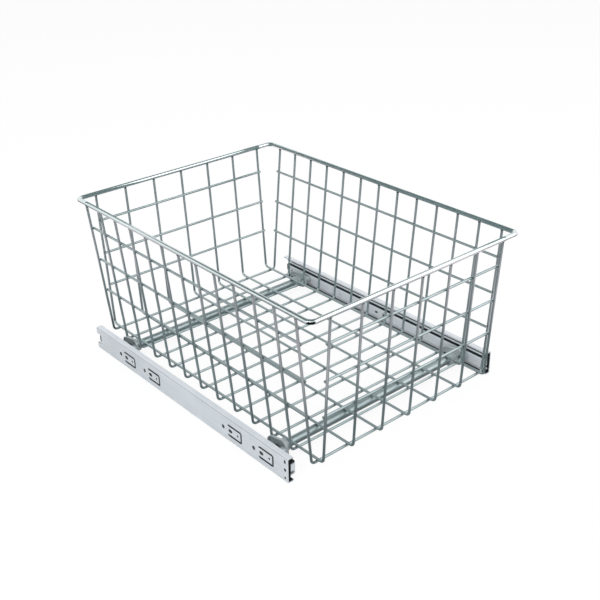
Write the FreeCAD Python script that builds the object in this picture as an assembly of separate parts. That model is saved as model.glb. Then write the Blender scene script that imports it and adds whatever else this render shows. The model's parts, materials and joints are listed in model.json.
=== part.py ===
import FreeCAD, Part
import math
import os

os.makedirs("parts", exist_ok=True)
V = FreeCAD.Vector

# Pull-out wire basket on a pair of full-extension ball slides, closed, in millimetres.
# +X runs from the left slide to the right one, -Y is the way the basket pulls out, +Z is up.
# The origin is under the middle of the rim, level with the slides' lower edges.

# Slides: overall sizes and the rim's overhang past them
slide_length = 450.0
slide_height = 36.0
slide_thickness = 12.7
rim_front_overhang = 37.6
rim_rear_overhang = 30.0
rim_wall_gap = 6.6            # rim's outside to the cabinet wall

# Basket: rods and overall shape
rim_width = 369.0             # outside, left to right
rim_rod = 6.5
rim_corner = 9.0              # centre-line radius
wire_rod = 3.5
wire_bend = 6.0               # centre-line radius of the floor bends
basket_height = 214.7         # floor run of the side wires to the rim's centre line
side_taper = 21.0             # how far each side leans in from rim to floor
end_taper = 13.8              # the same for the front and the back
weld_gap = 0.05               # what is left open between rods that are welded

# Basket: wires and rails
side_wire_count = 13
side_wire_margin = 11.5       # floor bend of the front and back to the first side wire
base_wire_count = 7
base_wire_margin = 9.0        # floor bend of the sides to the first base wire
rail_count = 3
rail_below_rim = 40.5         # rim's centre line to the top rail
rail_pitch = 51.9
rail_overhang = 0.8           # rail end past the centre of the last wire

# Cross tubes and their end brackets
tube_diameter = 12.0
tube_wall = 1.0
tube_bay = 1.5                # side-wire pitches in from the first side wire
tube_drop = 2.8               # tube's axis below the slide's middle
bracket_depth = 14.0          # drawer member's face to the plate's inner face
bracket_plate = 2.0
bracket_length = 38.0
bracket_height = 25.0
bracket_corner = 9.0
bracket_tilt = 12.0           # degrees, front end up
bracket_lip = 1.5             # raised edge of the plate, towards the slide
bracket_lip_wall = 2.0
boss_diameter = 9.5
boss_floor = 10.5             # under the screw's head
collar_wire_gap = 0.6         # end of the collar to the outermost base wire
hub_wall = 1.75
hub_flare = 1.2               # how much wider the hub is at the plate
hub_flare_length = 2.5
collar_length = 4.5
collar_wall = 1.3             # collar's step over the hub
collar_edge = 0.4
socket_gap = 0.05

# Bracket screws
screw_offset = 14.0           # from the bracket's middle, along its length
screw_shank = 3.9
screw_reach = 13.5            # under the head
screw_head = 6.4
screw_head_height = 2.2
screw_head_round = 0.9
screw_recess = 4.0
screw_recess_width = 0.9
screw_recess_depth = 1.1
screw_gap = 0.1
screw_head_gap = 0.3

# Slides: section
cabinet_sheet = 1.2
middle_sheet = 1.0
drawer_sheet = 1.2
bend_inside = 0.8
flange_setback = 3.3          # drawer face to the edge of the cabinet flange
cabinet_lip = 2.4             # depth of the rolled edge
middle_lip = 2.4
lip_round = 0.9
cage_sheet = 0.6
run_gap = 0.3                 # running gap between stacked sheets
ball = 3.2
race_gap = 0.15               # ball to race, each side
pocket_gap = 0.1

# Slides: lengths
middle_front_set = 5.5        # back from the cabinet member's front end
middle_rear_set = 18.0
drawer_front_set = 1.0
drawer_rear_set = 15.5
ball_count = 12
ball_pitch = 15.0
cage_end = 7.5                # last ball to the cage's end
outer_cage_shift = 0.0        # cage's middle from the slide's middle
inner_cage_shift = -10.0

# Cabinet member: screw clusters and ends
cluster_first = 35.7          # small hole from the front end
cluster_pair = 64.0           # between the two clusters at one end
cluster_span = 252.0          # between the front and rear pairs
pilot_hole = 3.2
oval_back = 15.5              # oval slot behind the small hole
oval_width = 5.0
oval_length = 8.0
screw_hole_back = 31.0        # round screw hole behind the small hole
screw_hole = 5.8
tongue_back = 6.35            # middle of the tongue behind the small hole
tongue_length = 30.0
tongue_height = 18.3
tongue_slot = 3.0
tongue_round = 3.5
tip_back = 5.2                # row of holes by the front end
tip_pitch = 12.0
tip_oval_width = 3.2
tip_oval_height = 5.4
tip_hole = 4.5
tip_small_hole = 3.4
rear_notch_depth = 11.0
rear_notch_height = 15.0
rear_notch_round = 3.0

# Drawer member: front tab and loose holes, each from its front end or its rear end
tab_side_gap = 1.0            # slit between the bent front tab and the upper flange
tab_drop = 3.4                # tab's lower edge below the slide's middle
tab_set = 1.2                 # tab's edge inside the flanges' edges
front_hole_back = 59.5
front_hole = 4.8
pair_back = 190.5             # two small holes, one above the other
pair_step = 4.8
pair_hole = 2.2
upright_back = 203.0
upright_width = 3.6
upright_height = 6.2
level_back = 218.5
level_width = 7.0
level_height = 3.8
far_hole_back = 303.0
far_hole = 2.4
rear_hole_set = 8.5
rear_hole_pitch = 14.8
rear_hole = 4.0

# Bumpers
rear_bumper_length = 11.0
rear_bumper_set = 1.5         # bumper to the middle member's end
rear_bumper_depth = 6.0
rear_bumper_height = 11.0
clip_drop = 10.0              # front clip's foot below the slide's middle
clip_hook = 4.1               # how far its upper prong reaches over the middle member's flange
clip_prong = 7.0              # the same for its lower prong, in front of the members
clip_grip = 8.0               # prongs along the flange
bumper_gap = 0.15
bumper_round = 1.0

# Release levers
lever_pivot_back = 245.0      # from the drawer member's front end
lever_front = 34.0            # pivot to the front tip
lever_rear = 30.0
lever_thick = 2.4
lever_height = 6.0
lever_tip = 4.0
lever_boss = 9.0
lever_pin = 4.0
lever_pin_head = 6.4
lever_pin_head_height = 1.0
lever_pin_gap = 0.06
lever_side_gap = 0.3

# Places that follow from the sizes above
half_width = rim_width / 2 + rim_wall_gap
slide_mid = slide_height / 2
rim_depth = slide_length + rim_front_overhang + rim_rear_overhang
slide_front = -rim_depth / 2 + rim_front_overhang
slide_rear = slide_front + slide_length
tube_z = slide_mid - tube_drop
base_z = tube_z + tube_diameter / 2 + weld_gap + wire_rod / 2
side_z = base_z - wire_rod - weld_gap
rim_z = side_z + basket_height
rim_half_x = (rim_width - rim_rod) / 2
rim_half_y = (rim_depth - rim_rod) / 2
floor_half_x = rim_half_x - side_taper
floor_half_y = rim_half_y - end_taper
side_wire_pitch = 2 * (floor_half_y - side_wire_margin) / (side_wire_count - 1)
side_wire_ys = [floor_half_y - side_wire_margin - i * side_wire_pitch for i in range(side_wire_count)]
base_wire_pitch = 2 * (floor_half_x - base_wire_margin) / (base_wire_count - 1)
base_wire_xs = [base_wire_margin - floor_half_x + i * base_wire_pitch for i in range(base_wire_count)]
tube_y = side_wire_ys[0] - tube_bay * side_wire_pitch
drawer_face = half_width - slide_thickness
bracket_face = drawer_face - bracket_depth
screw_seat = drawer_face - boss_floor
hub_length = bracket_face - base_wire_xs[-1] - wire_rod / 2 - collar_wire_gap

# Section of the slide, u from the cabinet wall inwards and v from the slide's middle up
flange_reach = slide_thickness - flange_setback
ball_gap = ball + 2 * race_gap
outer_race = slide_mid - cabinet_sheet
middle_half = outer_race - ball_gap
inner_race = middle_half - middle_sheet
drawer_half = inner_race - ball_gap
outer_cage_u = cabinet_sheet + run_gap
middle_u = outer_cage_u + cage_sheet + run_gap
inner_cage_u = middle_u + middle_sheet + run_gap
drawer_flange_u = inner_cage_u + cage_sheet + run_gap
drawer_web_u = slide_thickness - drawer_sheet
outer_ball_u = (middle_u + flange_reach) / 2 - run_gap
inner_ball_u = flange_reach - middle_sheet - run_gap - cage_sheet - pocket_gap - ball / 2
outer_ball_v = middle_half + race_gap + ball / 2
inner_ball_v = drawer_half + race_gap + ball / 2
middle_front = slide_front + middle_front_set
middle_rear = slide_rear - middle_rear_set
drawer_front = slide_front + drawer_front_set
drawer_rear = slide_rear - drawer_rear_set
slide_middle_y = (slide_front + slide_rear) / 2
sides = {"left": -1, "right": 1}


def save(name, shape):
    shape.exportStep("parts/" + name + ".step")


def group(solids):
    return Part.makeCompound(solids)


def outline(points, radii):
    # Closed wire through the points, with a tangent arc of the given radius at each corner that has one
    edges = []
    starts = []
    ends = []
    count = len(points)
    for i, corner in enumerate(points):
        back = points[i - 1] - corner
        ahead = points[(i + 1) % count] - corner
        if radii[i] <= 0:
            starts.append(corner)
            ends.append(corner)
            continue
        half = back.getAngle(ahead) / 2
        back.normalize()
        ahead.normalize()
        reach = radii[i] / math.tan(half)
        middle = back + ahead
        middle.normalize()
        first = corner + back * reach
        last = corner + ahead * reach
        top = corner + middle * (radii[i] / math.sin(half) - radii[i])
        starts.append(first)
        ends.append(last)
        edges.append((i, Part.Arc(first, top, last).toShape()))
    arcs = dict(edges)
    loop = []
    for i in range(count):
        if i in arcs:
            loop.append(arcs[i])
        following = starts[(i + 1) % count]
        if ends[i].distanceToPoint(following) > 1e-6:
            loop.append(Part.LineSegment(ends[i], following).toShape())
    return Part.Wire(loop)


def prism(points, radii, along):
    return Part.Face(outline(points, radii)).extrude(along)


def rod(points, bend, diameter):
    # Round rod along straight runs joined by tangent arcs
    edges = []
    here = points[0]
    for i in range(1, len(points) - 1):
        back = points[i - 1] - points[i]
        ahead = points[i + 1] - points[i]
        half = back.getAngle(ahead) / 2
        back.normalize()
        ahead.normalize()
        middle = back + ahead
        middle.normalize()
        first = points[i] + back * (bend / math.tan(half))
        last = points[i] + ahead * (bend / math.tan(half))
        top = points[i] + middle * (bend / math.sin(half) - bend)
        edges.append(Part.LineSegment(here, first).toShape())
        edges.append(Part.Arc(first, top, last).toShape())
        here = last
    edges.append(Part.LineSegment(here, points[-1]).toShape())
    start = Part.Circle(points[0], points[1] - points[0], diameter / 2).toShape()
    return Part.Wire(edges).makePipeShell([Part.Wire([start])], True, False)


def bar(start, end, diameter):
    return Part.makeCylinder(diameter / 2, (end - start).Length, start, end - start)


# Rim: one round rod bent to a closed rounded rectangle
def make_rim():
    x = rim_half_x
    y = rim_half_y
    corners = [V(x, y, rim_z), V(-x, y, rim_z), V(-x, -y, rim_z), V(x, -y, rim_z)]
    path = outline(corners, [rim_corner] * len(corners))
    first = path.OrderedEdges[0]
    start = first.valueAt(first.FirstParameter)
    heading = first.tangentAt(first.FirstParameter)
    ring = Part.Wire([Part.Circle(start, heading, rim_rod / 2).toShape()])
    return path.makePipeShell([ring], True, False)


# What the wire ends are coped to: the rim's straight stretches, with the weld gap
def rim_cope(along_y):
    radius = rim_rod + 2 * weld_gap
    if along_y:
        stretches = [(V(s * rim_half_x, -rim_half_y, rim_z), V(s * rim_half_x, rim_half_y, rim_z)) for s in (-1, 1)]
    else:
        stretches = [(V(-rim_half_x, s * rim_half_y, rim_z), V(rim_half_x, s * rim_half_y, rim_z)) for s in (-1, 1)]
    return group([bar(a, b, radius) for a, b in stretches])


# Side wires: down one side, across the floor and up the other
def make_side_wires():
    cope = rim_cope(True)
    for i, y in enumerate(side_wire_ys):
        path = [V(-rim_half_x, y, rim_z), V(-floor_half_x, y, side_z),
                V(floor_half_x, y, side_z), V(rim_half_x, y, rim_z)]
        save("side_wire_%02d" % (i + 1), rod(path, wire_bend, wire_rod).cut(cope))


# Base wires: down the back, along the floor on top of the side wires, and up the front
def make_base_wires():
    cope = rim_cope(False)
    for i, x in enumerate(base_wire_xs):
        path = [V(x, rim_half_y, rim_z), V(x, floor_half_y, base_z),
                V(x, -floor_half_y, base_z), V(x, -rim_half_y, rim_z)]
        save("base_wire_%d" % (i + 1), rod(path, wire_bend, wire_rod).cut(cope))


# Rails: straight wires along the inside of each wall, three to a wall
def wall_point(floor_half, rim_half, floor_z, height):
    rise = rim_z - floor_z
    lean = rim_half - floor_half
    slope = math.hypot(rise, lean)
    step = wire_rod + weld_gap
    across = floor_half + lean * (height - floor_z) / rise - step * rise / slope
    return across, height + step * lean / slope


def make_rails():
    heights = [rim_z - rail_below_rim - i * rail_pitch for i in range(rail_count)]
    reach_y = side_wire_ys[0] + rail_overhang
    reach_x = base_wire_xs[-1] + rail_overhang
    for name, s in sides.items():
        rails = []
        for height in heights:
            x, z = wall_point(floor_half_x, rim_half_x, side_z, height)
            rails.append(bar(V(s * x, -reach_y, z), V(s * x, reach_y, z), wire_rod))
        save(name + "_rails", group(rails))
    for name, s in (("front", -1), ("back", 1)):
        rails = []
        for height in heights:
            y, z = wall_point(floor_half_y, rim_half_y, base_z, height)
            rails.append(bar(V(-reach_x, s * y, z), V(reach_x, s * y, z), wire_rod))
        save(name + "_rails", group(rails))


# Cross tubes, under the base wires, with an end bracket on each drawer member
def make_tubes():
    for name, s in (("front", -1), ("rear", 1)):
        reach = bracket_face + bracket_plate
        ends = (V(-reach, s * tube_y, tube_z), V(reach, s * tube_y, tube_z))
        tube = bar(*ends, tube_diameter).cut(bar(*ends, tube_diameter - 2 * tube_wall))
        save(name + "_tube", tube)


def bracket_place(side, x, y, along, up):
    # A point on a bracket, measured along its tilted length and square to it
    tilt = math.radians(bracket_tilt)
    forward = along * math.cos(tilt) - up * math.sin(tilt)
    rise = along * math.sin(tilt) + up * math.cos(tilt)
    return V(side * x, y - forward, slide_mid + rise)


def bracket_slab(side, y, x, inset, thickness):
    # Rounded slab of the bracket's outline, drawn in by the inset, from x towards the slide
    a = bracket_length / 2 - inset
    b = bracket_height / 2 - inset
    corners = [bracket_place(side, x, y, *corner) for corner in ((-a, -b), (a, -b), (a, b), (-a, b))]
    return prism(corners, [bracket_corner - inset] * len(corners), V(side * thickness, 0, 0))


# Bracket: a tilted dish with a raised edge, a boss for each screw and a hub for the tube's end
def make_bracket(side, y):
    outwards = V(side, 0, 0)
    lip_x = bracket_face + bracket_plate
    dish = bracket_slab(side, y, bracket_face, 0, bracket_plate + bracket_lip)
    dish = dish.cut(bracket_slab(side, y, lip_x, bracket_lip_wall, bracket_lip))
    seat = V(side * bracket_face, y, tube_z)
    bore = tube_diameter / 2 + socket_gap
    hub = bore + hub_wall
    body = Part.makeCylinder(hub, hub_length, seat, -outwards)
    flare = Part.makeCone(hub + hub_flare, hub, hub_flare_length, seat, -outwards)
    rim_seat = seat - outwards * (hub_length - collar_length)
    collar = Part.makeCylinder(hub + collar_wall, collar_length, rim_seat, -outwards)
    collar = collar.makeChamfer(collar_edge, [e for e in collar.Edges if e.Closed and len(e.Vertexes) == 1
                                              and isinstance(e.Curve, Part.Circle)])
    pieces = [body, flare, collar]
    holes = [Part.makeCylinder(bore, hub_length + bracket_plate, seat - outwards * hub_length, outwards)]
    well = screw_head / 2 + screw_head_gap
    shank = screw_shank / 2 + screw_gap
    for along in (-screw_offset, screw_offset):
        start = bracket_place(side, bracket_face, y, along, 0)
        pieces.append(Part.makeCylinder(boss_diameter / 2, bracket_depth, start, outwards))
        holes.append(Part.makeCylinder(well, bracket_depth - boss_floor, start, outwards))
        holes.append(Part.makeCylinder(shank, bracket_depth, start, outwards))
    return dish.fuse(pieces).cut(holes).removeSplitter()


def make_screw(side, y, along):
    outwards = V(side, 0, 0)
    seat = bracket_place(side, screw_seat, y, along, 0)
    top_x = screw_seat - screw_head_height
    head = Part.makeCylinder(screw_head / 2, screw_head_height, seat, -outwards)
    top = [e for e in head.Edges if isinstance(e.Curve, Part.Circle)
           and abs(abs(e.Curve.Center.x) - top_x) < 1e-6]
    head = head.makeFillet(screw_head_round, top)
    shank = Part.makeCylinder(screw_shank / 2, screw_reach, seat, outwards)
    screw = head.fuse(shank)
    near = min(side * top_x, side * (top_x + screw_recess_depth))
    for dy, dz in ((screw_recess, screw_recess_width), (screw_recess_width, screw_recess)):
        arm = Part.makeBox(screw_recess_depth, dy, dz, V(near, seat.y - dy / 2, seat.z - dz / 2))
        screw = screw.cut(arm)
    return screw


def make_brackets():
    screws = []
    for side_name, side in sides.items():
        for end_name, s in (("front", -1), ("rear", 1)):
            save(end_name + "_" + side_name + "_bracket", make_bracket(side, s * tube_y))
            for along in (-screw_offset, screw_offset):
                screws.append(make_screw(side, s * tube_y, along))
    save("bracket_screws", group(screws))


# Slide sections
def section(side, points, radii, y0, y1):
    corners = [V(side * (half_width - u), y0, slide_mid + v) for u, v in points]
    return prism(corners, radii, V(0, y1 - y0, 0))


def lipped_channel(side, u0, half, sheet, lip, y0, y1):
    w = flange_reach
    outer = sheet + bend_inside
    points = [(u0, -half), (u0, half), (w, half), (w, half - lip), (w - sheet, half - lip),
              (w - sheet, half - sheet), (u0 + sheet, half - sheet), (u0 + sheet, sheet - half),
              (w - sheet, sheet - half), (w - sheet, lip - half), (w, lip - half), (w, -half)]
    radii = [outer, outer, lip_round, 0, 0, 0, bend_inside, bend_inside, 0, 0, 0, lip_round]
    return section(side, points, radii, y0, y1)


def across(side, u, depth, y, v, diameter):
    # Round cutter through a sheet, along the slide's thickness
    start = V(side * (half_width - u), y, slide_mid + v)
    return Part.makeCylinder(diameter / 2, depth, start, V(-side, 0, 0))


def across_slot(side, u, depth, y, v, length, height, corner):
    start = V(side * (half_width - u), y, slide_mid + v)
    a = length / 2
    b = height / 2
    corners = [start + V(0, -a, -b), start + V(0, a, -b), start + V(0, a, b), start + V(0, -a, b)]
    return prism(corners, [corner] * 4, V(-side * depth, 0, 0))


# Cabinet member: the outer channel, with lanced tongues, screw holes and a notched rear end
def cluster_cutters(side, y):
    through = cabinet_sheet
    cutters = [across(side, 0, through, y, 0, pilot_hole),
               across_slot(side, 0, through, y + oval_back, 0, oval_length, oval_width, oval_width / 2),
               across(side, 0, through, y + screw_hole_back, 0, screw_hole)]
    middle = y + tongue_back
    frame = across_slot(side, 0, through, middle, 0, tongue_length, tongue_height, tongue_round)
    inner = across_slot(side, 0, through, middle + tongue_slot, 0, tongue_length,
                        tongue_height - 2 * tongue_slot, tongue_round - tongue_slot)
    cutters.append(frame.cut(inner))
    return cutters


def cluster_places():
    first = slide_front + cluster_first
    return [first + a + b for b in (0, cluster_span) for a in (0, cluster_pair)]


def make_cabinet_member(side):
    member = lipped_channel(side, 0, slide_mid, cabinet_sheet, cabinet_lip, slide_front, slide_rear)
    cutters = []
    for y in cluster_places():
        cutters += cluster_cutters(side, y)
    tip_y = slide_front + tip_back
    cutters.append(across_slot(side, 0, cabinet_sheet, tip_y, tip_pitch, tip_oval_width, tip_oval_height,
                               tip_oval_width / 2))
    cutters.append(across(side, 0, cabinet_sheet, tip_y, 0, tip_hole))
    cutters.append(across(side, 0, cabinet_sheet, tip_y, -tip_pitch, tip_small_hole))
    notch = across_slot(side, 0, cabinet_sheet, slide_rear, 0, 2 * rear_notch_depth, rear_notch_height,
                        rear_notch_round)
    cutters.append(notch)
    return member.cut(cutters)


def make_middle_member(side):
    return lipped_channel(side, middle_u, middle_half, middle_sheet, middle_lip, middle_front, middle_rear)


# Drawer member: the inner channel, opening towards the wall, with its web against the brackets
def make_drawer_member(side):
    far = slide_thickness
    half = drawer_half
    web = drawer_web_u
    outer = drawer_sheet + bend_inside
    near = drawer_flange_u
    points = [(far, -half), (far, half), (near, half), (near, half - drawer_sheet), (web, half - drawer_sheet),
              (web, drawer_sheet - half), (near, drawer_sheet - half), (near, -half)]
    radii = [outer, outer, 0, 0, bend_inside, bend_inside, 0, 0]
    member = section(side, points, radii, drawer_front, drawer_rear)
    tab_top = half - drawer_sheet - tab_side_gap
    tab_u = near + tab_set
    tab = [(tab_u, -tab_drop), (tab_u, tab_top), (web, tab_top), (web, -tab_drop)]
    member = member.fuse(section(side, tab, [0] * len(tab), drawer_front, drawer_front + drawer_sheet))
    return member.cut(drawer_holes(side)).removeSplitter()


def drawer_holes(side):
    web = drawer_web_u
    through = drawer_sheet
    holes = []
    for s in (-1, 1):
        for along in (-screw_offset, screw_offset):
            place = bracket_place(side, drawer_face, s * tube_y, along, 0)
            holes.append(Part.makeCylinder(screw_shank / 2 + screw_gap, through, place, V(side, 0, 0)))
    holes.append(across(side, web, through, drawer_front + front_hole_back, 0, front_hole))
    for v in (0, pair_step):
        holes.append(across(side, web, through, drawer_front + pair_back, v, pair_hole))
    holes.append(across_slot(side, web, through, drawer_front + upright_back, 0, upright_width, upright_height,
                             upright_width / 2))
    holes.append(across_slot(side, web, through, drawer_front + level_back, 0, level_width, level_height,
                             level_height / 2))
    holes.append(across(side, web, through, drawer_front + far_hole_back, 0, far_hole))
    for step in (0, 1):
        y = drawer_rear - rear_hole_set - step * rear_hole_pitch
        holes.append(across(side, web, through, y, 0, rear_hole))
    return holes


# Ball cages: thin channels with a pocket for each ball, and the balls themselves
def ball_places(shift):
    middle = slide_middle_y + shift
    return [middle + (i - (ball_count - 1) / 2) * ball_pitch for i in range(ball_count)]


def make_cage(side, u0, ball_u, ball_v, shift):
    ys = ball_places(shift)
    tip = ball_u + ball / 2 + pocket_gap + cage_sheet
    half = ball_v + cage_sheet / 2
    points = [(u0, -half), (u0, half), (tip, half), (tip, half - cage_sheet), (u0 + cage_sheet, half - cage_sheet),
              (u0 + cage_sheet, cage_sheet - half), (tip, cage_sheet - half), (tip, -half)]
    cage = section(side, points, [0] * len(points), ys[0] - cage_end, ys[-1] + cage_end)
    pockets = []
    for y in ys:
        for s in (-1, 1):
            place = V(side * (half_width - ball_u), y, slide_mid + s * ball_v - cage_sheet)
            pockets.append(Part.makeCylinder(ball / 2 + pocket_gap, 2 * cage_sheet, place))
    return cage.cut(pockets)


def make_balls(side, ball_u, ball_v, shift):
    x = side * (half_width - ball_u)
    return group([Part.makeSphere(ball / 2, V(x, y, slide_mid + s * ball_v))
                  for y in ball_places(shift) for s in (-1, 1)])


# Rear bumper: a block on the cabinet member's web that the middle member closes against
def make_rear_bumper(side):
    y0 = middle_rear + rear_bumper_set
    corners = [V(side * (half_width - cabinet_sheet - weld_gap), y0 + dy, slide_mid + dz)
               for dy, dz in ((0, -rear_bumper_height / 2), (rear_bumper_length, -rear_bumper_height / 2),
                              (rear_bumper_length, rear_bumper_height / 2), (0, rear_bumper_height / 2))]
    return prism(corners, [bumper_round] * 4, V(-side * rear_bumper_depth, 0, 0))


# Front bumper: a clip on the front end of the middle member, whose prongs grip the upper flange
def make_front_bumper(side):
    near = outer_cage_u
    bar_u = drawer_flange_u - bumper_gap
    top = outer_race - run_gap
    over = middle_half + bumper_gap
    under = inner_race - bumper_gap
    arm = drawer_half + run_gap
    end = middle_front - bumper_gap
    points = [(near, -clip_drop), (near, top), (middle_u + clip_hook, top), (middle_u + clip_hook, over),
              (bar_u, over), (bar_u, under), (bar_u + clip_prong, under), (bar_u + clip_prong, arm),
              (bar_u, arm), (bar_u, -clip_drop)]
    radii = [bumper_round, bumper_round, bumper_round, 0, 0, 0, bumper_round, bumper_round, 0, bumper_round]
    face = section(side, points, radii, slide_front, end)
    prongs = []
    for u0, u1, v0, v1 in ((middle_u + bumper_gap, middle_u + clip_hook, over, top),
                           (middle_u + middle_sheet + bumper_gap, flange_reach - middle_sheet - bumper_gap, arm, under)):
        corners = [(u0, v0), (u0, v1), (u1, v1), (u1, v0)]
        prongs.append(section(side, corners, [0, bend_inside, 0, 0], end, middle_front + clip_grip))
    return face.fuse(prongs).removeSplitter()


# Release lever: a rocker on a pin inside the drawer member
def lever_place(side, u):
    return V(side * (half_width - u), drawer_front + lever_pivot_back, slide_mid)


def make_lever(side):
    u = drawer_web_u - lever_side_gap
    centre = lever_place(side, u)
    a = lever_height / 2
    b = lever_tip / 2
    corners = [centre + V(0, -lever_front, -b), centre + V(0, 0, -a), centre + V(0, lever_rear, -b),
               centre + V(0, lever_rear, b), centre + V(0, 0, a), centre + V(0, -lever_front, b)]
    towards_wall = V(side, 0, 0)
    lever = prism(corners, [b, 0, b, b, 0, b], towards_wall * lever_thick)
    boss = Part.makeCylinder(lever_boss / 2, lever_thick, centre, towards_wall)
    bore = Part.makeCylinder(lever_pin / 2 + lever_pin_gap, lever_thick, centre, towards_wall)
    return lever.fuse(boss).cut(bore).removeSplitter()


def make_lever_pin(side):
    start = lever_place(side, drawer_web_u - weld_gap)
    length = lever_thick + 2 * lever_side_gap
    towards_wall = V(side, 0, 0)
    pin = Part.makeCylinder(lever_pin / 2, length, start, towards_wall)
    cap = Part.makeCylinder(lever_pin_head / 2, lever_pin_head_height, start + towards_wall * length, towards_wall)
    return pin.fuse(cap).removeSplitter()


def make_slides():
    for name, side in sides.items():
        save(name + "_cabinet_member", make_cabinet_member(side))
        save(name + "_middle_member", make_middle_member(side))
        save(name + "_drawer_member", make_drawer_member(side))
        save(name + "_outer_cage", make_cage(side, outer_cage_u, outer_ball_u, outer_ball_v, outer_cage_shift))
        save(name + "_outer_balls", make_balls(side, outer_ball_u, outer_ball_v, outer_cage_shift))
        save(name + "_inner_cage", make_cage(side, inner_cage_u, inner_ball_u, inner_ball_v, inner_cage_shift))
        save(name + "_inner_balls", make_balls(side, inner_ball_u, inner_ball_v, inner_cage_shift))
        save(name + "_rear_bumper", make_rear_bumper(side))
        save(name + "_front_bumper", make_front_bumper(side))
        save(name + "_release_lever", make_lever(side))
        save(name + "_lever_pin", make_lever_pin(side))


save("rim", make_rim())
make_side_wires()
make_base_wires()
make_rails()
make_tubes()
make_brackets()
make_slides()
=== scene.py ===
import bmesh
import bpy
import json
import math
from mathutils import Matrix, Vector


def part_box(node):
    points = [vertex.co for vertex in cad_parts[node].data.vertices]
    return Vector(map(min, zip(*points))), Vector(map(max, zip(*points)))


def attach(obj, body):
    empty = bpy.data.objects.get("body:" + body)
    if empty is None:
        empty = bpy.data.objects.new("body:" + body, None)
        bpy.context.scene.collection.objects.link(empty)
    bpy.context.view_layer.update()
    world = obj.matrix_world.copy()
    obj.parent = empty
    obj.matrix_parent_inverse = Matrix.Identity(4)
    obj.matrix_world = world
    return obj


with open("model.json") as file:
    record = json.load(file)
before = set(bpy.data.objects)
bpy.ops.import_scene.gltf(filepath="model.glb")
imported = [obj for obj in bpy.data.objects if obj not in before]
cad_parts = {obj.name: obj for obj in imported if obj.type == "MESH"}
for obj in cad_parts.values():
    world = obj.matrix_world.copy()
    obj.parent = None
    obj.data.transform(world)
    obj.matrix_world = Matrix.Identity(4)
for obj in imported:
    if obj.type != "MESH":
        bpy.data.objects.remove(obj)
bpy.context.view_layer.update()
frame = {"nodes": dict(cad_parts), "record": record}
nodes = frame["nodes"]
print("frame loaded:", len(nodes), "nodes")


# shared helpers for pieces and node materials
def newPiece(name, bm, mat):
    mesh = bpy.data.meshes.new(name)
    bm.to_mesh(mesh)
    bm.free()
    mesh.materials.append(mat)
    piece = bpy.data.objects.new(name, mesh)
    bpy.context.scene.collection.objects.link(piece)
    return piece


def blankMaterial(name):
    mat = bpy.data.materials.new(name)
    mat.use_nodes = True
    tree = mat.node_tree
    tree.nodes.clear()
    out = tree.nodes.new("ShaderNodeOutputMaterial")
    return mat, tree, out


def newMaterial(name):
    mat, tree, out = blankMaterial(name)
    shader = tree.nodes.new("ShaderNodeBsdfPrincipled")
    tree.links.new(shader.outputs["BSDF"], out.inputs["Surface"])
    return mat, tree, shader


def objectPoint(tree, stretch=(1, 1, 1)):
    coords = tree.nodes.new("ShaderNodeTexCoord")
    mapping = tree.nodes.new("ShaderNodeMapping")
    mapping.inputs["Scale"].default_value = stretch
    tree.links.new(coords.outputs["Object"], mapping.inputs["Vector"])
    return mapping.outputs["Vector"]


def noiseOn(tree, scale, detail, stretch=(1, 1, 1)):
    noise = tree.nodes.new("ShaderNodeTexNoise")
    noise.inputs["Scale"].default_value = scale
    noise.inputs["Detail"].default_value = detail
    tree.links.new(objectPoint(tree, stretch), noise.inputs["Vector"])
    return noise.outputs["Fac"]


def ramp(tree, value, stops):
    node = tree.nodes.new("ShaderNodeValToRGB")
    band = node.color_ramp
    band.elements[0].position = stops[0][0]
    band.elements[0].color = (*stops[0][1], 1)
    band.elements[1].position = stops[-1][0]
    band.elements[1].color = (*stops[-1][1], 1)
    for place, colour in stops[1:-1]:
        band.elements.new(place).color = (*colour, 1)
    tree.links.new(value, node.inputs["Fac"])
    return node.outputs["Color"]


def darkToLight(tree, value, finish, span):
    return ramp(tree, value, [(span[0], finish["dark"]), (span[1], finish["light"])])


def spread(tree, value, low, high):
    node = tree.nodes.new("ShaderNodeMapRange")
    node.inputs["To Min"].default_value = low
    node.inputs["To Max"].default_value = high
    tree.links.new(value, node.inputs["Value"])
    return node.outputs["Result"]


def mathNode(tree, operation, *values):
    node = tree.nodes.new("ShaderNodeMath")
    node.operation = operation
    for socket, value in zip(node.inputs, values):
        if isinstance(value, (int, float)):
            socket.default_value = value
        else:
            tree.links.new(value, socket)
    return node.outputs[0]


def bumpFrom(tree, shader, height, strength, depth):
    bump = tree.nodes.new("ShaderNodeBump")
    bump.inputs["Strength"].default_value = strength
    bump.inputs["Distance"].default_value = depth
    tree.links.new(height, bump.inputs["Height"])
    tree.links.new(bump.outputs["Normal"], shader.inputs["Normal"])


# chrome plate over drawn wire: clouded tone, fine drawing marks; the wire and tube copies are darker than the
# rim's, as painted shade
wireShadedFinish = {"dark": (0.39, 0.473, 0.484), "light": (0.495, 0.572, 0.582), "rough": (0.3, 0.42),
              "metal": 1.0}
tubeShadedFinish = {"dark": (0.35, 0.42, 0.43), "light": (0.45, 0.515, 0.525), "rough": (0.38, 0.48), "metal": 1.0}
rimFinish = {"dark": (0.69, 0.77, 0.775), "light": (0.81, 0.88, 0.885), "rough": (0.16, 0.24), "metal": 1.0}
# near-black chrome for the weld nuggets: painted shade where the rods cross
weldShadeFinish = {"dark": (0.05, 0.06, 0.06), "light": (0.17, 0.19, 0.19), "rough": (0.2, 0.4), "metal": 1.0}
bracketFinish = {"dark": (0.34, 0.39, 0.4), "light": (0.44, 0.485, 0.5), "rough": (0.36, 0.48), "metal": 0.4}
chromeGrain = {"clouds": (14.0, 4.0), "cloudSpan": (0.32, 0.68),  # noise scale and detail
               "dulling": (60.0, 3.0), "drawMarks": (700.0, 2.0),
               "bump": (0.03, 0.0002)}  # strength and depth


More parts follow.
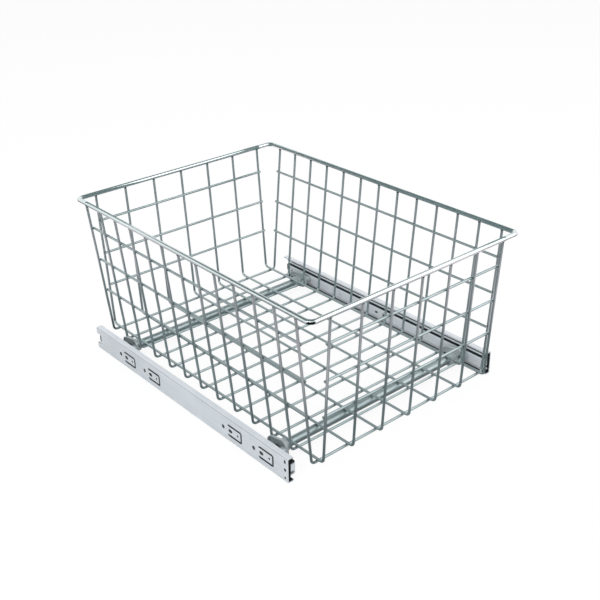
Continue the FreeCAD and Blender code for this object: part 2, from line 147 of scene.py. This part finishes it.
def makeChrome(name, finish):
    mat, tree, shader = newMaterial(name)
    clouds = noiseOn(tree, *chromeGrain["clouds"])
    tone = darkToLight(tree, clouds, finish, chromeGrain["cloudSpan"])
    tree.links.new(tone, shader.inputs["Base Color"])
    dulling = noiseOn(tree, *chromeGrain["dulling"])
    tree.links.new(spread(tree, dulling, *finish["rough"]), shader.inputs["Roughness"])
    shader.inputs["Metallic"].default_value = finish["metal"]
    bumpFrom(tree, shader, noiseOn(tree, *chromeGrain["drawMarks"]), *chromeGrain["bump"])
    return mat


# zinc plate on rolled sheet, with dark grease in the ball races; the same dark colour is painted shade in the
# slide's gaps, slots and inner faces
slideLow, slideHigh = [Vector(corner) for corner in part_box("right_cabinet_member")]
wallX = slideHigh.x  # face against the cabinet
slideMid = (slideLow + slideHigh) / 2
zincFinish = {"dark": (0.64, 0.675, 0.71), "light": (0.74, 0.77, 0.8), "toneSpan": (0.3, 0.7),
              "clouds": (30.0, 4.0), "cloudShare": (0.05, 0.5),
              "streaks": (260.0, 3.0, (1, 0.06, 1)), "streakShare": (0.0, 0.45),  # drawn out along the slide
              "rough": (0.4, 0.52), "metal": 0.35, "bump": (0.05, 0.0002)}
# one dark colour for the grease and for the painted shade inside the slides
greaseAndShadeFinish = {"colour": (0.03, 0.042, 0.05), "edge": 0.0002, "shadeFade": 0.25, "behindShade": 0.0001, "cutSharp": 4.0}
greaseAndShadeZones = {  # depths from the wall, heights from the slide's middle
    "cabinet_member": {"start": 0.0003, "end": 0.0088, "low": 0.0122, "high": 0.0174, "endGap": 0.0006,
                       "cuts": (0.0001, 0.0011), "cutsHigh": 0.0155},
    "middle_member": {"start": 0.0, "end": 0.0084, "low": 0.0088, "high": 0.03, "endGap": 0.0006,
                      "behindShadeEnd": 0.0045},
    "drawer_member": {"start": 0.0, "end": 0.012, "low": 0.006, "high": 0.03, "endGap": 0.004},
}


def between(tree, value, low, high):  # how far inside the two limits
    return mathNode(tree, "MINIMUM", mathNode(tree, "SUBTRACT", value, low),
                    mathNode(tree, "SUBTRACT", high, value))


def awayFrom(tree, value, middle):
    return mathNode(tree, "ABSOLUTE", mathNode(tree, "SUBTRACT", value, middle))


# mask of grease and painted shade, from depth, height and distance to the slide's ends
def greaseAndShadeMask(tree, zone):
    split = tree.nodes.new("ShaderNodeSeparateXYZ")
    tree.links.new(objectPoint(tree), split.inputs[0])
    depth = mathNode(tree, "SUBTRACT", wallX, mathNode(tree, "ABSOLUTE", split.outputs["X"]))
    rise = awayFrom(tree, split.outputs["Z"], slideMid.z)
    along = awayFrom(tree, split.outputs["Y"], slideMid.y)
    halfLength = (slideHigh.y - slideLow.y) / 2 - zone["endGap"]
    toEnd = mathNode(tree, "SUBTRACT", halfLength, along)
    inside = between(tree, depth, zone["start"], zone["end"])
    inside = mathNode(tree, "MINIMUM", inside, mathNode(tree, "SUBTRACT", zone["high"], rise))
    shadeFade = mathNode(tree, "SUBTRACT", rise, zone["low"])
    inside = mathNode(tree, "MINIMUM", inside, mathNode(tree, "MULTIPLY", shadeFade, greaseAndShadeFinish["shadeFade"]))
    inside = mathNode(tree, "MINIMUM", inside, toEnd)
    if "behindShadeEnd" in zone:  # painted shade on the middle member's web behind the cabinet's slots, weak enough that the plate shows through
        toBehindShadeEnd = mathNode(tree, "SUBTRACT", zone["behindShadeEnd"], depth)
        behindShade = mathNode(tree, "MINIMUM", greaseAndShadeFinish["behindShade"], toBehindShadeEnd)
        inside = mathNode(tree, "MAXIMUM", inside, behindShade)
    if "cuts" in zone:  # painted shade on the walls of the punched slots
        wall = mathNode(tree, "MULTIPLY", between(tree, depth, *zone["cuts"]), greaseAndShadeFinish["cutSharp"])
        wall = mathNode(tree, "MINIMUM", wall, mathNode(tree, "SUBTRACT", zone["cutsHigh"], rise))
        wall = mathNode(tree, "MINIMUM", wall, toEnd)
        inside = mathNode(tree, "MAXIMUM", inside, wall)
    mask = tree.nodes.new("ShaderNodeMapRange")
    mask.inputs["From Min"].default_value = -greaseAndShadeFinish["edge"]
    mask.inputs["From Max"].default_value = greaseAndShadeFinish["edge"]
    tree.links.new(inside, mask.inputs["Value"])
    return mask.outputs["Result"]


def makeZinc(name, zone):
    mat, tree, shader = newMaterial(name)
    clouds = noiseOn(tree, *zincFinish["clouds"])
    streaks = noiseOn(tree, *zincFinish["streaks"])
    tone = mathNode(tree, "ADD", spread(tree, clouds, *zincFinish["cloudShare"]),
                    spread(tree, streaks, *zincFinish["streakShare"]))
    # zinc mixed towards the dark colour where grease and painted shade are masked
    greaseAndShadeMix = tree.nodes.new("ShaderNodeMix")
    greaseAndShadeMix.data_type = "RGBA"
    tree.links.new(greaseAndShadeMask(tree, zone), greaseAndShadeMix.inputs["Factor"])
    tree.links.new(darkToLight(tree, tone, zincFinish, zincFinish["toneSpan"]), greaseAndShadeMix.inputs["A"])
    greaseAndShadeMix.inputs["B"].default_value = (*greaseAndShadeFinish["colour"], 1)
    tree.links.new(greaseAndShadeMix.outputs["Result"], shader.inputs["Base Color"])
    tree.links.new(spread(tree, clouds, *zincFinish["rough"]), shader.inputs["Roughness"])
    shader.inputs["Metallic"].default_value = zincFinish["metal"]
    bumpFrom(tree, shader, streaks, *zincFinish["bump"])
    return mat


# oily steel of the balls, cages and screws; its near-black tone is partly painted shade inside the slides
oilAndShadeFinish = {"dark": (0.015, 0.02, 0.024), "light": (0.05, 0.062, 0.07), "toneSpan": (0.35, 0.7),
              "blotches": (120.0, 3.0), "dulling": (200.0, 2.0), "rough": (0.3, 0.5), "metal": 0.8}


def makeOilAndShade():
    mat, tree, shader = newMaterial("greasedAndShadedSteel")
    blotches = noiseOn(tree, *oilAndShadeFinish["blotches"])
    tone = darkToLight(tree, blotches, oilAndShadeFinish, oilAndShadeFinish["toneSpan"])
    tree.links.new(tone, shader.inputs["Base Color"])
    dulling = noiseOn(tree, *oilAndShadeFinish["dulling"])
    tree.links.new(spread(tree, dulling, *oilAndShadeFinish["rough"]), shader.inputs["Roughness"])
    shader.inputs["Metallic"].default_value = oilAndShadeFinish["metal"]
    return mat


# moulded black plastic of the clips, bumpers and levers
blackFinish = {"dark": (0.002, 0.002, 0.002), "light": (0.006, 0.006, 0.007), "toneSpan": (0.3, 0.7),
               "grain": (1500.0, 2.0), "rough": (0.5, 0.65), "specular": 0.25, "bump": (0.15, 0.0001)}


def makeBlack():
    mat, tree, shader = newMaterial("blackPlastic")
    grain = noiseOn(tree, *blackFinish["grain"])
    tone = darkToLight(tree, grain, blackFinish, blackFinish["toneSpan"])
    tree.links.new(tone, shader.inputs["Base Color"])
    tree.links.new(spread(tree, grain, *blackFinish["rough"]), shader.inputs["Roughness"])
    shader.inputs["Specular IOR Level"].default_value = blackFinish["specular"]
    bumpFrom(tree, shader, grain, *blackFinish["bump"])
    return mat


finishes = {"rim": makeChrome("rimChrome", rimFinish), "tube": makeChrome("tubeShadedChrome", tubeShadedFinish),
            "bracket": makeChrome("bracketChrome", bracketFinish)}
for part, zone in greaseAndShadeZones.items():
    finishes[part] = makeZinc(part + "Zinc", zone)
slotFinishes = {"chrome_wire": makeChrome("wireShadedChrome", wireShadedFinish), "black_plastic": makeBlack()}
oilAndShadeSteel = makeOilAndShade()


def finishFor(name, slot):
    for part, mat in finishes.items():
        if name.endswith(part):
            return mat
    return slotFinishes.get(slot, oilAndShadeSteel)


for entry in frame["record"]["subparts"]:
    mesh = nodes[entry["node"]].data
    mesh.materials.clear()
    mesh.materials.append(finishFor(entry["node"], entry["material_slot"]))
print("finishes set")


# weld nuggets where the wires cross, squeezed out between the rods; their near-black chrome is painted shade
# at the crossings
wireSizes = {"wire": 0.0035, "rimRod": 0.0065, "sideTaper": 0.021, "endTaper": 0.0138,
             "railBelowRim": 0.0405, "railPitch": 0.0519, "railCount": 3}
weldSettings = {"cross": (0.0019, 0.0019, 0.0009), "rim": (0.0024, 0.0024, 0.0018), "subdivisions": 1}


def middleOf(name):
    low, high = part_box(name)
    return (Vector(low) + Vector(high)) / 2


def addNugget(bm, place, normal, size):
    turn = Vector(normal).to_track_quat("Z", "Y").to_matrix().to_4x4()
    shape = Matrix.Diagonal((*size, 1))
    bmesh.ops.create_icosphere(bm, subdivisions=weldSettings["subdivisions"], radius=1,
                               matrix=Matrix.Translation(place) @ turn @ shape)


def makeWelds():
    wire = wireSizes["wire"]
    rimTop = Vector(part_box("rim")[1])
    rimReach = rimTop - Vector((1, 1, 1)) * wireSizes["rimRod"] / 2
    sideNames = sorted(name for name in nodes if name.startswith("side_wire_"))
    baseNames = sorted(name for name in nodes if name.startswith("base_wire_"))
    sideYs = [middleOf(name).y for name in sideNames]
    baseXs = [middleOf(name).x for name in baseNames]
    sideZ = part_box(sideNames[0])[0][2] + wire / 2
    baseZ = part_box(baseNames[0])[0][2] + wire / 2
    topRailZ = rimReach.z - wireSizes["railBelowRim"]
    railZs = [topRailZ - i * wireSizes["railPitch"] for i in range(wireSizes["railCount"])]
    bm = bmesh.new()
    for x in baseXs:
        for y in sideYs:
            addNugget(bm, Vector((x, y, sideZ + wire / 2)), (0, 0, 1), weldSettings["cross"])
        for tube in ("front_tube", "rear_tube"):
            addNugget(bm, Vector((x, middleOf(tube).y, baseZ - wire / 2)), (0, 0, 1), weldSettings["rim"])
    for side in (-1, 1):
        for axis, alongs, reach, taper, floorZ in ((0, sideYs, rimReach.x, wireSizes["sideTaper"], sideZ),
                                                   (1, baseXs, rimReach.y, wireSizes["endTaper"], baseZ)):
            lean = Vector((0, 0, rimReach.z - floorZ))
            lean[axis] = side * taper
            lean.normalize()
            inward = Vector((0, 0, side * lean[axis]))
            inward[axis] = -side * lean.z
            for along in alongs:
                foot = Vector((along, along, rimReach.z))
                foot[axis] = side * reach
                addNugget(bm, foot - lean * wireSizes["rimRod"] / 2, lean, weldSettings["rim"])
                for z in railZs:
                    place = foot + lean * (z - rimReach.z) / lean.z
                    addNugget(bm, place + inward * wire / 2, inward, weldSettings["cross"])
    welds = newPiece("weldNuggets", bm, makeChrome("weldShadeChrome", weldShadeFinish))
    welds.data.shade_smooth()
    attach(welds, "basket")
    print("weld nuggets:", len(welds.data.polygons), "faces")


makeWelds()


# floor and background, plain white where they are seen or mirrored
floorSettings = {"half": 6.0, "glow": 0.9, "colour": (0.92, 0.92, 0.92)}
worldSettings = {"light": (0.62, 0.63, 0.64), "seen": (1.0, 1.0, 1.0)}


def seenPlainly(tree):
    path = tree.nodes.new("ShaderNodeLightPath")
    seen = mathNode(tree, "MAXIMUM", path.outputs["Is Camera Ray"], path.outputs["Is Glossy Ray"])
    return mathNode(tree, "MAXIMUM", seen, path.outputs["Is Transmission Ray"])


def mixShaders(tree, factor, first, second):
    mix = tree.nodes.new("ShaderNodeMixShader")
    if isinstance(factor, float):
        mix.inputs[0].default_value = factor
    else:
        tree.links.new(factor, mix.inputs[0])
    tree.links.new(first, mix.inputs[1])
    tree.links.new(second, mix.inputs[2])
    return mix.outputs[0]


def makeFloor():
    bm = bmesh.new()
    bmesh.ops.create_grid(bm, x_segments=1, y_segments=1, size=floorSettings["half"])
    mat, tree, out = blankMaterial("floorWhite")
    paint = tree.nodes.new("ShaderNodeBsdfDiffuse")
    paint.inputs["Color"].default_value = (*floorSettings["colour"], 1)
    glow = tree.nodes.new("ShaderNodeEmission")
    pale = mixShaders(tree, floorSettings["glow"], paint.outputs[0], glow.outputs[0])
    tree.links.new(mixShaders(tree, seenPlainly(tree), paint.outputs[0], pale), out.inputs["Surface"])
    newPiece("floor", bm, mat)


def makeWorld():
    world = bpy.data.worlds.new("studio")
    bpy.context.scene.world = world
    world.use_nodes = True
    tree = world.node_tree
    light = tree.nodes["Background"]
    light.inputs["Color"].default_value = (*worldSettings["light"], 1)
    seen = tree.nodes.new("ShaderNodeBackground")
    seen.inputs["Color"].default_value = (*worldSettings["seen"], 1)
    tree.links.new(mixShaders(tree, seenPlainly(tree), light.outputs[0], seen.outputs[0]),
                   tree.nodes["World Output"].inputs["Surface"])


# cloths and cards round the object, which only the metal sees
matSettings = {"reach": (1.5, 1.75, 1.0), "lift": 0.001, "steps": 48,
               "shades": [(0.0, (0.3, 0.33, 0.335)), (0.14, (0.3, 0.33, 0.335)), (0.19, (0.15, 0.17, 0.175)),
                          (0.25, (0.17, 0.19, 0.195)), (0.275, (1.0, 0.83, 0.86)), (0.355, (0.95, 0.8, 0.83)),
                          (0.39, (0.05, 0.06, 0.065)), (0.5, (0.05, 0.06, 0.065)), (0.6, (0.3, 0.32, 0.32)),
                          (1.0, (0.7, 0.71, 0.71))]}  # grey cloth under the basket, in rings of painted shade and painted light for the metal to mirror
canopySettings = {"profile": ((0.75, 0.66), (0.5, 0.87), (0.25, 0.97), (0.0, 1.0)), "reach": (1.5, 1.5, 1.5),
                  "steps": 48, "openTowards": (0.65, -0.76, 0.0), "openFrom": 0.6,
                  "dark": (0.13, 0.16, 0.165)}  # dark cloth overhead and behind
standSettings = {"profile": ((0.58, 0.002), (0.8, 0.002), (0.8, 0.55)), "reach": (1.0, 1.0, 1.0), "steps": 16,
                 "from": 205.0, "sweep": 55.0, "dark": (0.012, 0.014, 0.016)}  # black card by the camera
cardSettings = {"inset": 0.03, "below": 0.015, "above": 0.036, "pastBack": 0.04, "backFoot": 0.13,
                "backTop": (0.035, 0.085), "cornerOut": 0.017, "cornerHalf": 0.027, "cornerDrop": 0.013,
                "grey": (0.2, 0.26, 0.26), "black": (0.004, 0.005, 0.005)}  # small cards close to the rim
mergeDistance = 0.0001


def clothMaterial(name):
    mat, tree, out = blankMaterial(name)
    cloth = tree.nodes.new("ShaderNodeBsdfDiffuse")
    tree.links.new(cloth.outputs[0], out.inputs["Surface"])
    return mat, tree, cloth


def onlyMirrored(name, bm, mat):
    piece = newPiece(name, bm, mat)
    piece.visible_camera = False
    piece.visible_diffuse = False
    piece.visible_shadow = False


def plainCloth(name, bm, matName, colour):
    mat, tree, cloth = clothMaterial(matName)
    cloth.inputs["Color"].default_value = (*colour, 1)
    onlyMirrored(name, bm, mat)


def spinRound(bm, corners, settings, angle=math.tau):
    verts = [bm.verts.new((out, 0, up)) for out, up in corners]
    hem = [bm.edges.new(pair) for pair in zip(verts, verts[1:])]
    bmesh.ops.spin(bm, geom=verts + hem, axis=(0, 0, 1), cent=(0, 0, 0), angle=angle,
                   steps=settings["steps"], use_merge=angle == math.tau)
    bmesh.ops.remove_doubles(bm, verts=bm.verts, dist=mergeDistance)
    bmesh.ops.scale(bm, vec=settings["reach"], verts=bm.verts)


def makeMat():
    bm = bmesh.new()
    spinRound(bm, ((0, matSettings["lift"]), (1, matSettings["lift"])), matSettings)
    mat, tree, cloth = clothMaterial("greyCloth")
    away = tree.nodes.new("ShaderNodeVectorMath")
    away.operation = "LENGTH"
    tree.links.new(objectPoint(tree, [1 / reach for reach in matSettings["reach"]]), away.inputs[0])
    tree.links.new(ramp(tree, away.outputs["Value"], matSettings["shades"]), cloth.inputs["Color"])
    onlyMirrored("mat", bm, mat)


def makeCanopy():
    bm = bmesh.new()
    spinRound(bm, canopySettings["profile"], canopySettings)
    everything = bm.verts[:] + bm.edges[:] + bm.faces[:]
    opening = Vector(canopySettings["openTowards"])
    bmesh.ops.bisect_plane(bm, geom=everything, plane_co=opening * canopySettings["openFrom"],
                           plane_no=opening, clear_outer=True)
    plainCloth("canopy", bm, "darkCloth", canopySettings["dark"])


def makeStand():
    bm = bmesh.new()
    spinRound(bm, standSettings["profile"], standSettings, math.radians(standSettings["sweep"]))
    turn = Matrix.Rotation(math.radians(standSettings["from"]), 3, "Z")
    bmesh.ops.rotate(bm, verts=bm.verts, cent=(0, 0, 0), matrix=turn)
    plainCloth("stand", bm, "blackCard", standSettings["dark"])


def makeCard(name, corners, colour):
    bm = bmesh.new()
    bm.faces.new([bm.verts.new(corner) for corner in corners])
    plainCloth(name, bm, name, colour)


def makeCards():
    low, high = [Vector(corner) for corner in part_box("rim")]
    bottom = high.z - cardSettings["below"]
    top = high.z + cardSettings["above"]
    rightX = high.x - cardSettings["inset"]
    rearY = high.y + cardSettings["pastBack"]
    makeCard("rightCard", ((rightX, low.y, bottom), (rightX, rearY, bottom), (rightX, rearY, top),
                           (rightX, low.y, top)), cardSettings["grey"])
    backY = high.y - cardSettings["inset"]
    footX = low.x + cardSettings["backFoot"]
    topReach, topRise = cardSettings["backTop"]
    backTop = high.z + topRise
    makeCard("backCard", ((low.x, backY, bottom), (footX, backY, bottom), (low.x + topReach, backY, backTop),
                          (low.x, backY, backTop)), cardSettings["grey"])
    nearX = low.x - cardSettings["cornerOut"]
    nearY = low.y - cardSettings["cornerOut"]
    under = high.z - cardSettings["cornerDrop"]
    half = cardSettings["cornerHalf"]
    makeCard("cornerCard", ((nearX - half, nearY - half, under), (nearX + half, nearY - half, under),
                            (nearX + half, nearY + half, under), (nearX - half, nearY + half, under)),
             cardSettings["black"])


# soft lamps, all turned to the middle of the basket
lampAim = Vector((0, 0, 0.1))
lampSettings = [
    {"name": "keyLamp", "at": (1.6, -1.9, 1.6), "size": 2.6, "watts": 22},
    {"name": "fillLamp", "at": (-1.9, -1.3, 1.5), "size": 2.2, "watts": 44},
    {"name": "topLamp", "at": (0.3, 0.6, 2.6), "size": 2.4, "watts": 22},
]


def makeLamps():
    for lamp in lampSettings:
        data = bpy.data.lights.new(lamp["name"], "AREA")
        data.shape = "SQUARE"
        data.size = lamp["size"]
        data.energy = lamp["watts"]
        obj = bpy.data.objects.new(lamp["name"], data)
        obj.location = lamp["at"]
        obj.rotation_euler = (lampAim - Vector(lamp["at"])).to_track_quat("-Z", "Y").to_euler()
        bpy.context.scene.collection.objects.link(obj)


makeFloor()
makeMat()
makeCanopy()
makeStand()
makeCards()
makeLamps()
makeWorld()
print("studio set")


# camera at the photograph's viewing angle, in a square image
cameraSettings = {"azimuth": -40.356, "elevation": 27.439, "roll": -1.131, "distance": 1.4387,
                  "focalPixels": 970.425, "imagePixels": 600, "aim": (0.015155, 0.073134), "sensor": 36.0}


def makeCamera():
    az = math.radians(cameraSettings["azimuth"])
    el = math.radians(cameraSettings["elevation"])
    roll = math.radians(cameraSettings["roll"])
    back = Vector((math.sin(az) * math.cos(el), -math.cos(az) * math.cos(el), math.sin(el)))
    flat = Vector((math.cos(az), math.sin(az), 0))
    rise = back.cross(flat)
    right = flat * math.cos(roll) + rise * math.sin(roll)
    up = rise * math.cos(roll) - flat * math.sin(roll)
    aimRight, aimUp = cameraSettings["aim"]
    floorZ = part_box("side_wire_01")[0][2] + wireSizes["wire"] / 2
    place = Vector((0, 0, floorZ)) + right * aimRight + up * aimUp + back * cameraSettings["distance"]
    data = bpy.data.cameras.new("photoCamera")
    data.sensor_width = cameraSettings["sensor"]
    data.lens = data.sensor_width * cameraSettings["focalPixels"] / cameraSettings["imagePixels"]
    camera = bpy.data.objects.new("photoCamera", data)
    turn = Matrix((right, up, back)).transposed().to_4x4()
    camera.matrix_world = Matrix.Translation(place) @ turn
    bpy.context.scene.collection.objects.link(camera)
    bpy.context.scene.camera = camera


makeCamera()
bpy.context.scene.view_settings.view_transform = "Standard"
